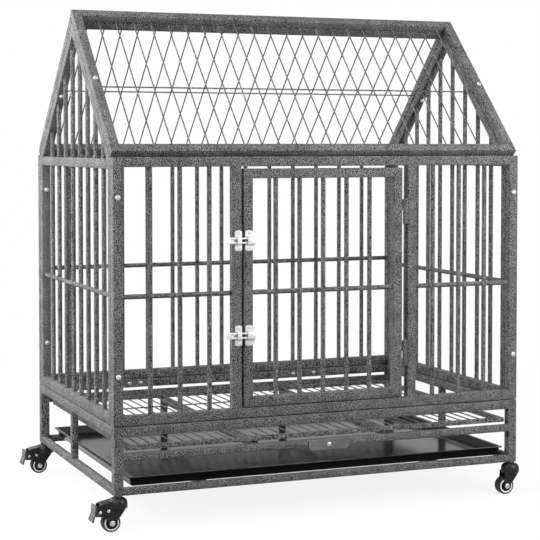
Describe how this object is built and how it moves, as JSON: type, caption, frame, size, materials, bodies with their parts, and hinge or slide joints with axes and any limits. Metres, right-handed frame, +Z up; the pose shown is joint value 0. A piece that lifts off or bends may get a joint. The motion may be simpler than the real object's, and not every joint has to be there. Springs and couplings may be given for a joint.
{
  "type": "dog cage",
  "caption": "House-roofed steel dog cage on casters with a latched front door, slide-out floor grate and waste tray.",
  "frame": {"origin": "bottom centre of the whole part's box, on the floor; the cage's own middle lies 18.84 mm to +X of it, because the casters trail to -X", "axes": "+Z up, +X to the right as seen from the door side, the door faces -Y"},
  "size_m": [0.9766, 0.6388, 1.06],
  "materials": {
    "hammertone": "dark grey hammertone powder coat on steel tube, bar and wire",
    "zinc": "bright zinc plate on pressed latch parts",
    "steel": "plain bright plated fasteners",
    "caster_black": "satin black moulded caster body",
    "tyre_black": "matt black tread",
    "tray_black": "smooth glossy black pan",
    "pedal_grey": "dark grey ribbed plastic"
  },
  "bodies": {
    "cage": {"base_frame": "hammertone", "front_panel": "hammertone", "back_panel": "hammertone", "side_panel_left": "hammertone", "side_panel_right": "hammertone", "roof_panel_front": "hammertone", "roof_panel_rear": "hammertone", "latch_plate_lower": "zinc", "latch_plate_upper": "zinc", "hinge_pin_lower": "steel", "hinge_pin_upper": "steel", "corner_bolt_front_left_lower": "steel", "corner_bolt_front_left_upper": "steel", "corner_bolt_front_right_lower": "steel", "corner_bolt_front_right_upper": "steel", "corner_bolt_rear_left_lower": "steel", "corner_bolt_rear_left_upper": "steel", "corner_bolt_rear_right_lower": "steel", "corner_bolt_rear_right_upper": "steel", "roof_bolt_front_left": "steel", "roof_bolt_front_right": "steel", "roof_bolt_rear_left": "steel", "roof_bolt_rear_right": "steel", "joining_plate_left": "hammertone", "joining_plate_right": "hammertone", "joining_screw_left_a": "steel", "joining_screw_left_b": "steel", "joining_screw_right_a": "steel", "joining_screw_right_b": "steel", "turn_latch_screw": "steel", "caster_stem_front_left": "steel", "caster_stem_front_right": "steel", "caster_stem_rear_left": "steel", "caster_stem_rear_right": "steel"},
    "door": {"door": "hammertone", "latch_keeper_lower": "zinc", "latch_keeper_upper": "zinc"},
    "latch_bolt_lower": {"latch_bolt_lower": "zinc"},
    "latch_bolt_upper": {"latch_bolt_upper": "zinc"},
    "turn_latch": {"turn_latch": "hammertone"},
    "floor_grate": {"floor_grate": "hammertone"},
    "waste_tray": {"waste_tray": "tray_black"},
    "swivel_front_left": {"caster_fork_front_left": "caster_black", "caster_axle_front_left": "steel"},
    "wheel_front_left": {"caster_hub_front_left": "caster_black", "caster_tyre_front_left": "tyre_black"},
    "brake_pedal_front_left": {"brake_pedal_front_left": "pedal_grey"},
    "swivel_front_right": {"caster_fork_front_right": "caster_black", "caster_axle_front_right": "steel"},
    "wheel_front_right": {"caster_hub_front_right": "caster_black", "caster_tyre_front_right": "tyre_black"},
    "swivel_rear_left": {"caster_fork_rear_left": "caster_black", "caster_axle_rear_left": "steel"},
    "wheel_rear_left": {"caster_hub_rear_left": "caster_black", "caster_tyre_rear_left": "tyre_black"},
    "brake_pedal_rear_left": {"brake_pedal_rear_left": "pedal_grey"},
    "swivel_rear_right": {"caster_fork_rear_right": "caster_black", "caster_axle_rear_right": "steel"},
    "wheel_rear_right": {"caster_hub_rear_right": "caster_black", "caster_tyre_rear_right": "tyre_black"}
  },
  "joints": [
    {"name": "door_hinge", "type": "hinge", "parent": "cage", "child": "door", "pos_m": [0.20334, -0.31, 0.4775], "axis": [0, 0, 1], "range_deg": [0, 170]},
    {"name": "latch_lower_slide", "type": "slide", "parent": "cage", "child": "latch_bolt_lower", "axis": [-1, 0, 0], "range_m": [0, 0.018]},
    {"name": "latch_upper_slide", "type": "slide", "parent": "cage", "child": "latch_bolt_upper", "axis": [-1, 0, 0], "range_m": [0, 0.018]},
    {"name": "turn_latch_turn", "type": "hinge", "parent": "cage", "child": "turn_latch", "pos_m": [0.02484, -0.3103, 0.14325], "axis": [0, 1, 0], "range_deg": [-90, 0]},
    {"name": "grate_slide", "type": "slide", "parent": "cage", "child": "floor_grate", "axis": [0, -1, 0], "range_m": [0, 0.5]},
    {"name": "tray_slide", "type": "slide", "parent": "cage", "child": "waste_tray", "axis": [0, -1, 0], "range_m": [0, 0.5]},
    {"name": "caster_swivel_front_left", "type": "hinge", "parent": "cage", "child": "swivel_front_left", "pos_m": [-0.43116, -0.3, 0.06], "axis": [0, 0, 1], "continuous": true},
    {"name": "wheel_roll_front_left", "type": "hinge", "parent": "swivel_front_left", "child": "wheel_front_left", "pos_m": [-0.44616, -0.3, 0.019], "axis": [0, 1, 0], "continuous": true},
    {"name": "brake_pedal_front_left_tilt", "type": "hinge", "parent": "swivel_front_left", "child": "brake_pedal_front_left", "pos_m": [-0.47076, -0.3, 0.0427], "axis": [0, 1, 0], "range_deg": [0, 12]},
    {"name": "caster_swivel_front_right", "type": "hinge", "parent": "cage", "child": "swivel_front_right", "pos_m": [0.46884, -0.3, 0.06], "axis": [0, 0, 1], "continuous": true},
    {"name": "wheel_roll_front_right", "type": "hinge", "parent": "swivel_front_right", "child": "wheel_front_right", "pos_m": [0.45384, -0.3, 0.019], "axis": [0, 1, 0], "continuous": true},
    {"name": "caster_swivel_rear_left", "type": "hinge", "parent": "cage", "child": "swivel_rear_left", "pos_m": [-0.43116, 0.3, 0.06], "axis": [0, 0, 1], "continuous": true},
    {"name": "wheel_roll_rear_left", "type": "hinge", "parent": "swivel_rear_left", "child": "wheel_rear_left", "pos_m": [-0.44616, 0.3, 0.019], "axis": [0, 1, 0], "continuous": true},
    {"name": "brake_pedal_rear_left_tilt", "type": "hinge", "parent": "swivel_rear_left", "child": "brake_pedal_rear_left", "pos_m": [-0.47076, 0.3, 0.0427], "axis": [0, 1, 0], "range_deg": [0, 12]},
    {"name": "caster_swivel_rear_right", "type": "hinge", "parent": "cage", "child": "swivel_rear_right", "pos_m": [0.46884, 0.3, 0.06], "axis": [0, 0, 1], "continuous": true},
    {"name": "wheel_roll_rear_right", "type": "hinge", "parent": "swivel_rear_right", "child": "wheel_rear_right", "pos_m": [0.45384, 0.3, 0.019], "axis": [0, 1, 0], "continuous": true}
  ]
}
